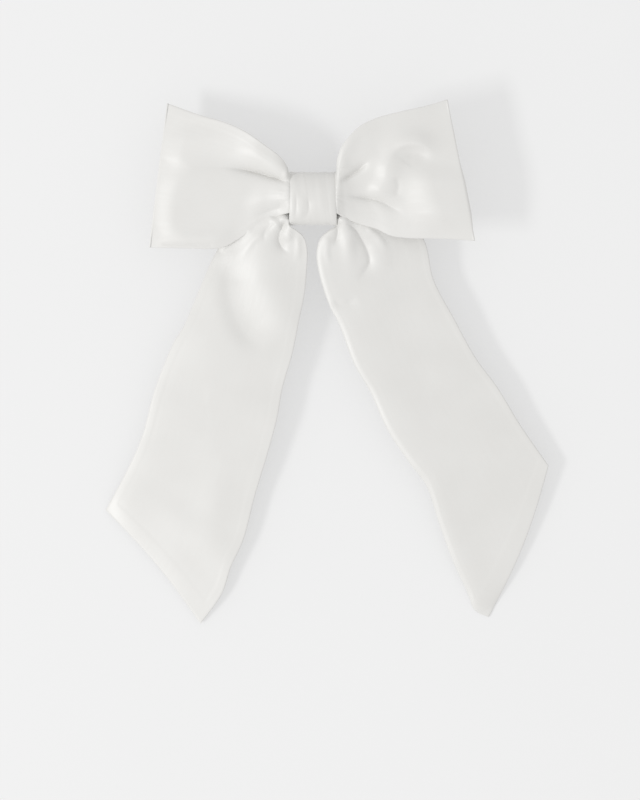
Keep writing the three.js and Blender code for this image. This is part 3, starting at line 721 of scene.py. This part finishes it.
def right_tail():
    left = [(1.5, -6, 16.6), (8.6, -6.8, 17.2), (10.6, -9, 18.8), (10.5, -12, 19.6), (7, -14.4, 19.6),
            (3.4, -17.8, 18.6), (1.9, -23.6, 17.6), (2.8, -31.6, 16.6), (4.8, -39.1, 15.8),
            (7.8, -47.3, 15), (11.8, -55, 14.2), (18.5, -72.6, 13), (25.4, -84.5, 12.2),
            (33, -101.2, 11.2), (42.7, -115.8, 10), (50, -125.6, 8.8), (55.9, -142.6, 6.8),
            (62, -159.3, 4.6), (68.6, -173.4, 2.6), (71.8, -181, 1.6), (77.4, -183.8, 1)]
    right = [(1.5, 2, 16.4), (9.5, 2.6, 17), (21, 1, 17), (34, -4, 16.4), (44, -11, 15.6),
             (49.3, -20.2, 14.4), (52.6, -35.2, 12.8), (62, -53.2, 12), (71.3, -70, 11.2),
             (81, -83.2, 10.4), (90.6, -99, 9.4), (103.4, -117.4, 7.6)]
    waits = [(0, 0), (0.047, 0.034), (0.116, 0.05), (0.198, 0.063), (0.27, 0.083), (0.334, 0.117),
             (0.426, 0.185), (0.544, 0.31), (1, 1)]

    def relief(xy, v, u, to_left, to_end):
        z = 0.4 * (1 - smoothstep(v, 0.06, 0.2)) * ripple(u * 2.6, 14)
        z += bulge(xy, (13, -9.2), (4, 2.6), -30, 2.4)
        z += crease(xy, [(10.6, -10), (10.9, -15), (9.1, -21.5)], 1.3, (1.3, 1.3), (0.15, 0.4))
        z += bulge(xy, (15.6, -19.8), (3, 7.2), 4, 1.2)
        z += crease(xy, [(13.4, -10), (18.5, -13.3), (21.6, -18), (24.1, -23.4), (24.8, -28),
                         (22.4, -32.2), (18, -36.8)], 1.3, (2.0, 1.4), (0.15, 0.35))
        z += ridge(xy, [(27, -16), (30, -25), (29.6, -36)], 0.6, (4.5, 5), (0.3, 0.4))
        z += ridge(xy, [(23, -12.6), (29, -17.4), (33.4, -24)], 0.5, (1.3, 1.7), (0.2, 0.5))
        z += ridge(xy, [(6.6, -16), (6.2, -24), (7.6, -31)], 0.45, (1.3, 1.6), (0.2, 0.5))
        z += crease(xy, [(8, -44.4), (13, -46.4), (20.5, -43.4)], 0.7, (1.4, 2.6), (0.3, 0.4))
        z -= 1.3 * np.exp(-to_left / 1.8) * smoothstep(v, 0.1, 0.2)
        z -= 1.2 * np.exp(-to_end / 2) * (1 - smoothstep(u, 0.05, 0.3))
        z += 0.16 * smoothstep(v, 0.2, 0.4) * crumple(xy, 47, 32)
        return z

    tail_piece("right_tail_satin", "right_tail", left, right, (waits, EVEN), relief, 2.5, (2.6, 2.2))


# ---- knot ----

KNOT_ROWS = 180
KNOT_COLUMNS = 60
KNOT_THICK = 0.8
KNOT_HEM_EXTRA = 0.1
KNOT_HEM_WIDTH = 2.4

# The strip's middle lies INSET inside the CAD band's outside. It winds once round, from under the plate
# to just short of where it began.
INSET = 0.5
WRAP_START = -0.53 * math.pi
WRAP_END = 1.47 * math.pi - 0.08


def knot():
    """The centre wrap: a pleated strip wound once round the gathers and the clip's plate."""
    lo, hi = node_box("knot_band")
    half_x, half_y = (hi[0] - lo[0]) / 2, (hi[1] - lo[1]) / 2
    centre_z, half_z = (hi[2] + lo[2]) / 2, (hi[2] - lo[2]) / 2
    turn = np.linspace(WRAP_START, WRAP_END, KNOT_ROWS)
    x = np.linspace(-half_x, half_x, KNOT_COLUMNS)
    t, px = np.meshgrid(turn, x, indexing="ij")
    share = px / half_x
    c, s = np.cos(t), np.sin(t)
    y = (half_y - INSET) * squared(c, 2 / SQUARENESS)
    z = (half_z - INSET) * squared(s, 2 / SQUARENESS)
    front = smoothstep(s, -0.2, 0.5)
    xy = np.dstack([px, y])
    lift = front * (
        crease(xy, [(-7.8, 4), (-7.6, -3), (-8.2, -9.5)], 0.32, (0.8, 0.8), (0.4, 0.2))
        + crease(xy, [(-2.6, 1.5), (-2, -4), (-2.8, -9.5)], 0.4, (0.9, 0.7), (0.4, 0.3))
        + ridge(xy, [(-5.1, 3), (-4.9, -3), (-5.6, -9)], 0.22, (1.4, 1.4), (0.4, 0.2))
        + ridge(xy, [(4, 8), (3.4, 0), (4.4, -8)], 0.25, (3, 3), (0.3, 0.3))
        + 0.1 * ripple(share * 1.3 + 0.2 * y / half_y, 71)
    )
    lift = lift + (1 - front) * 0.15 * np.cos(2 * math.pi * 2.2 * share)
    radius = np.maximum(np.hypot(y, z), 1)
    shrink = 1 - 0.085 * front * np.abs(share) ** 9
    waist = 1 - 0.03 * (1 - np.abs(c)) - 0.02 * front
    scale = shrink * (1 + lift / radius)
    middle = np.dstack([px * waist, y * (1 + lift / radius), centre_z + z * scale])
    to_side = half_x * (1 - np.abs(share))
    thickness = KNOT_THICK + KNOT_HEM_EXTRA * hem(to_side, KNOT_HEM_WIDTH)
    length = lengths_down(middle, KNOT_COLUMNS // 2)
    flat = np.dstack([px + half_x, np.broadcast_to(length[:, None], px.shape)])
    piece = cloth("knot_band_satin", middle, thickness, flat)
    dress(piece, SATIN, "bow", "satin", "knot_band")


# ---- threads ----

COIL_RADIUS = 0.3
COIL_TURNS = 5
COIL_STEPS = 40

STITCH_INSET = 0.35
STITCH_HALF_HEIGHT = 1.7
STITCH_LEAN = 0.265
STITCH_OPENING = 0.2
STITCH_STEPS = 90
PLY_RADIUS = 0.19
PLY_OFFSET = 0.16
PLY_TWIST = 14


def tube(name, path, radius, sides):
    """A round thread along a path, in mm."""
    p = np.array(path, float)
    ahead = np.roll(p, -1, axis=0) - np.roll(p, 1, axis=0)
    ahead[0] = p[1] - p[0]
    ahead[-1] = p[-1] - p[-2]
    ahead /= np.linalg.norm(ahead, axis=1, keepdims=True)
    across = np.cross(ahead[0], (0.31, 0.57, 0.76))
    rings = []
    for k in range(len(p)):
        across = across - ahead[k] * (across @ ahead[k])
        across /= np.linalg.norm(across)
        other = np.cross(ahead[k], across)
        angle = np.linspace(0, 2 * math.pi, sides, endpoint=False)
        rings.append(p[k] + radius * (np.outer(np.cos(angle), across) + np.outer(np.sin(angle), other)))
    index = np.arange(len(p) * sides).reshape(len(p), sides)
    corners = [index[:-1], np.roll(index[:-1], -1, 1), np.roll(index[1:], -1, 1), index[1:]]
    faces = np.stack(corners, axis=-1).reshape(-1, 4).tolist()
    faces += [index[0, ::-1].tolist(), index[-1].tolist()]
    return new_object(name, np.vstack(rings) * MM, faces)


def gather_thread():
    """The thread wound round the gathers, inside the CAD coil's box."""
    lo, hi = node_box("gather_thread")
    half_y, half_z = (hi[1] - lo[1]) / 2, (hi[2] - lo[2]) / 2
    middle_z = (lo[2] + hi[2]) / 2
    angle = np.linspace(0, 2 * math.pi * COIL_TURNS, COIL_TURNS * COIL_STEPS)
    x = np.linspace(lo[0] + COIL_RADIUS, hi[0] - COIL_RADIUS, len(angle))
    y = (half_y - COIL_RADIUS) * squared(np.cos(angle), 2 / 3)
    z = middle_z + (half_z - COIL_RADIUS) * squared(np.sin(angle), 2 / 3)
    piece = tube("gather_thread_wound", np.column_stack([x, y, z]), COIL_RADIUS * 0.97, 8)
    dress(piece, THREAD, "bow", "thread", "gather_thread")


def stitch(name, replaced):
    """Two plies of thread twisted together, round the same way as the CAD stitch. The first stands for it."""
    lo, hi = node_box(replaced)
    middle = (lo + hi) / 2
    half_x = (hi[0] - lo[0]) / 2 - STITCH_INSET
    lean = math.copysign(STITCH_LEAN, -middle[0])
    angle = np.linspace(STITCH_OPENING - math.pi / 2, 1.5 * math.pi - STITCH_OPENING, STITCH_STEPS)
    x = half_x * squared(np.cos(angle), 0.5)
    z = STITCH_HALF_HEIGHT * squared(np.sin(angle), 0.5) + lean * x
    for ply in range(2):
        turn = angle * PLY_TWIST + ply * math.pi
        y = PLY_OFFSET * np.cos(turn)
        up = z + PLY_OFFSET * np.sin(turn)
        path = np.column_stack([middle[0] + x, middle[1] + y, middle[2] + up])
        piece = tube(f"{name}_{'ab'[ply]}", path, PLY_RADIUS, 6)
        dress(piece, THREAD, "bow", "thread", *([replaced] if ply == 0 else []))


# ---- felt ----

CAD_PAD_THICK = 1.0
FELT_THICK = 0.9
FELT_LIFT = 0.5
FELT_CORNER = 2.5


def felt_pad():
    """The felt strip on top of the clip's plate, with cut edges that fuzz a little."""
    lo, hi = node_box("backing_pad")
    half_x, half_y = hi[0], hi[1]
    x = np.linspace(-half_x, half_x, 120)
    y = np.linspace(-half_y, half_y, 20)
    px, py = np.meshgrid(x, y, indexing="ij")
    arch_end = lo[2]
    rise = hi[2] - CAD_PAD_THICK - arch_end
    z = arch_end + FELT_LIFT + rise * (1 - (px / half_x) ** 2)
    corner = np.maximum(np.abs(px) - (half_x - FELT_CORNER), 0) / FELT_CORNER
    wide = np.sqrt(np.maximum(1 - corner ** 2, 0.25))
    ragged = 1 + 0.012 * ripple(px / 6, 91)
    xy = np.dstack([px, py])
    middle = np.dstack([px, py * wide * ragged, z])
    thickness = FELT_THICK + 0.08 * crumple(xy, 5, 4)
    piece = cloth("backing_pad_felt", middle, thickness, np.dstack([py, px]))
    smooth = piece.modifiers.new("fine", "SUBSURF")
    smooth.levels = 1
    smooth.render_levels = 1
    dress(piece, FELT, "bow", "felt", "backing_pad")


# ---- clip ----

EDGE_BEVEL = 0.12
EDGE_ANGLE = 35


def clip():
    """The barrette's CAD parts keep their shape and get their metal and softened edges."""
    plated = ("base_plate", "hinge_pin", "clasp_arm", "catch_base", "catch_rivet")
    sprung = ("tension_bar", "catch_tab_front", "catch_tab_back")
    for names, material in ((plated, PLATED), (sprung, SPRING)):
        for name in names:
            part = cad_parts[name]
            part.data.materials.clear()
            part.data.materials.append(material)
            soften = part.modifiers.new("edges", "BEVEL")
            soften.width = EDGE_BEVEL * MM
            soften.segments = 2
            soften.limit_method = "ANGLE"
            soften.angle_limit = math.radians(EDGE_ANGLE)
            shade = part.modifiers.new("shade", "WEIGHTED_NORMAL")
            shade.keep_sharp = True


# ---- room, in metres ----

# The camera looks straight down, and its picture is FRAME_HEIGHT tall at FOCUS_HEIGHT above the table.
FRAME_HEIGHT = 0.352
FOCUS_HEIGHT = 0.01
CAMERA_DISTANCE = 3.0
CAMERA_CENTRE = (0.0031, -0.0884)
SENSOR = 36.0

WINDOW_AZIMUTH = 197
WINDOW_ELEVATION = 44
WINDOW_DISTANCE = 2.5
WINDOW_WIDE = 0.8
WINDOW_TALL = 0.35
WINDOW_POWER = 23.5
SKY_STRENGTH = 0.855

TABLE_HALF = 3.0
TABLE_GAP = 0.0002


def floor():
    """A flat table just under the clip."""
    corners = np.array([(-1, -1, 0), (1, -1, 0), (1, 1, 0), (-1, 1, 0)]) * TABLE_HALF
    corners[:, 2] = CAD_BOX[0][2] - TABLE_GAP
    table = new_object("table", corners, [[0, 1, 2, 3]])
    table.data.materials.append(floor_material())


def window_light():
    """A wide soft light to the left of the bow and a little below it, as it is looked at."""
    light = bpy.data.lights.new("window", "AREA")
    light.shape = "RECTANGLE"
    light.size = WINDOW_WIDE
    light.size_y = WINDOW_TALL
    light.energy = WINDOW_POWER
    lamp = bpy.data.objects.new("window", light)
    azimuth, elevation = math.radians(WINDOW_AZIMUTH), math.radians(WINDOW_ELEVATION)
    way = Vector((
        math.cos(azimuth) * math.cos(elevation),
        math.sin(azimuth) * math.cos(elevation),
        math.sin(elevation),
    ))
    lamp.location = Vector((*CAMERA_CENTRE, 0)) + way * WINDOW_DISTANCE
    side = Vector((0, 0, 1)).cross(way).normalized()
    facing = Matrix((side, way.cross(side), way)).transposed().to_4x4()
    facing.translation = lamp.location
    lamp.matrix_world = facing
    bpy.context.scene.collection.objects.link(lamp)


def room():
    floor()
    world = bpy.data.worlds.new("soft_daylight")
    world.use_nodes = True
    put(world.node_tree.nodes["Background"].inputs, {"Color": (1, 1, 1, 1), "Strength": SKY_STRENGTH})
    window_light()
    scene = bpy.context.scene
    scene.world = world
    scene.view_settings.view_transform = "Standard"
    scene.view_settings.look = "None"
    scene.view_settings.exposure = 0.0


def camera():
    """A long lens straight above, as the photo looks."""
    lens = bpy.data.cameras.new("overhead")
    lens.sensor_width = SENSOR
    lens.lens = SENSOR * CAMERA_DISTANCE / FRAME_HEIGHT
    lens.clip_start, lens.clip_end = 0.1, 10
    eye = bpy.data.objects.new("overhead", lens)
    eye.location = (*CAMERA_CENTRE, CAMERA_DISTANCE + FOCUS_HEIGHT)
    bpy.context.scene.collection.objects.link(eye)
    bpy.context.scene.camera = eye


camera()
room()
clip()
felt_pad()
left_tail()
right_tail()
left_loop()
right_loop()
gather_thread()
stitch("stitch_left_thread", "stitch_left")
stitch("stitch_right_thread", "stitch_right")
knot()
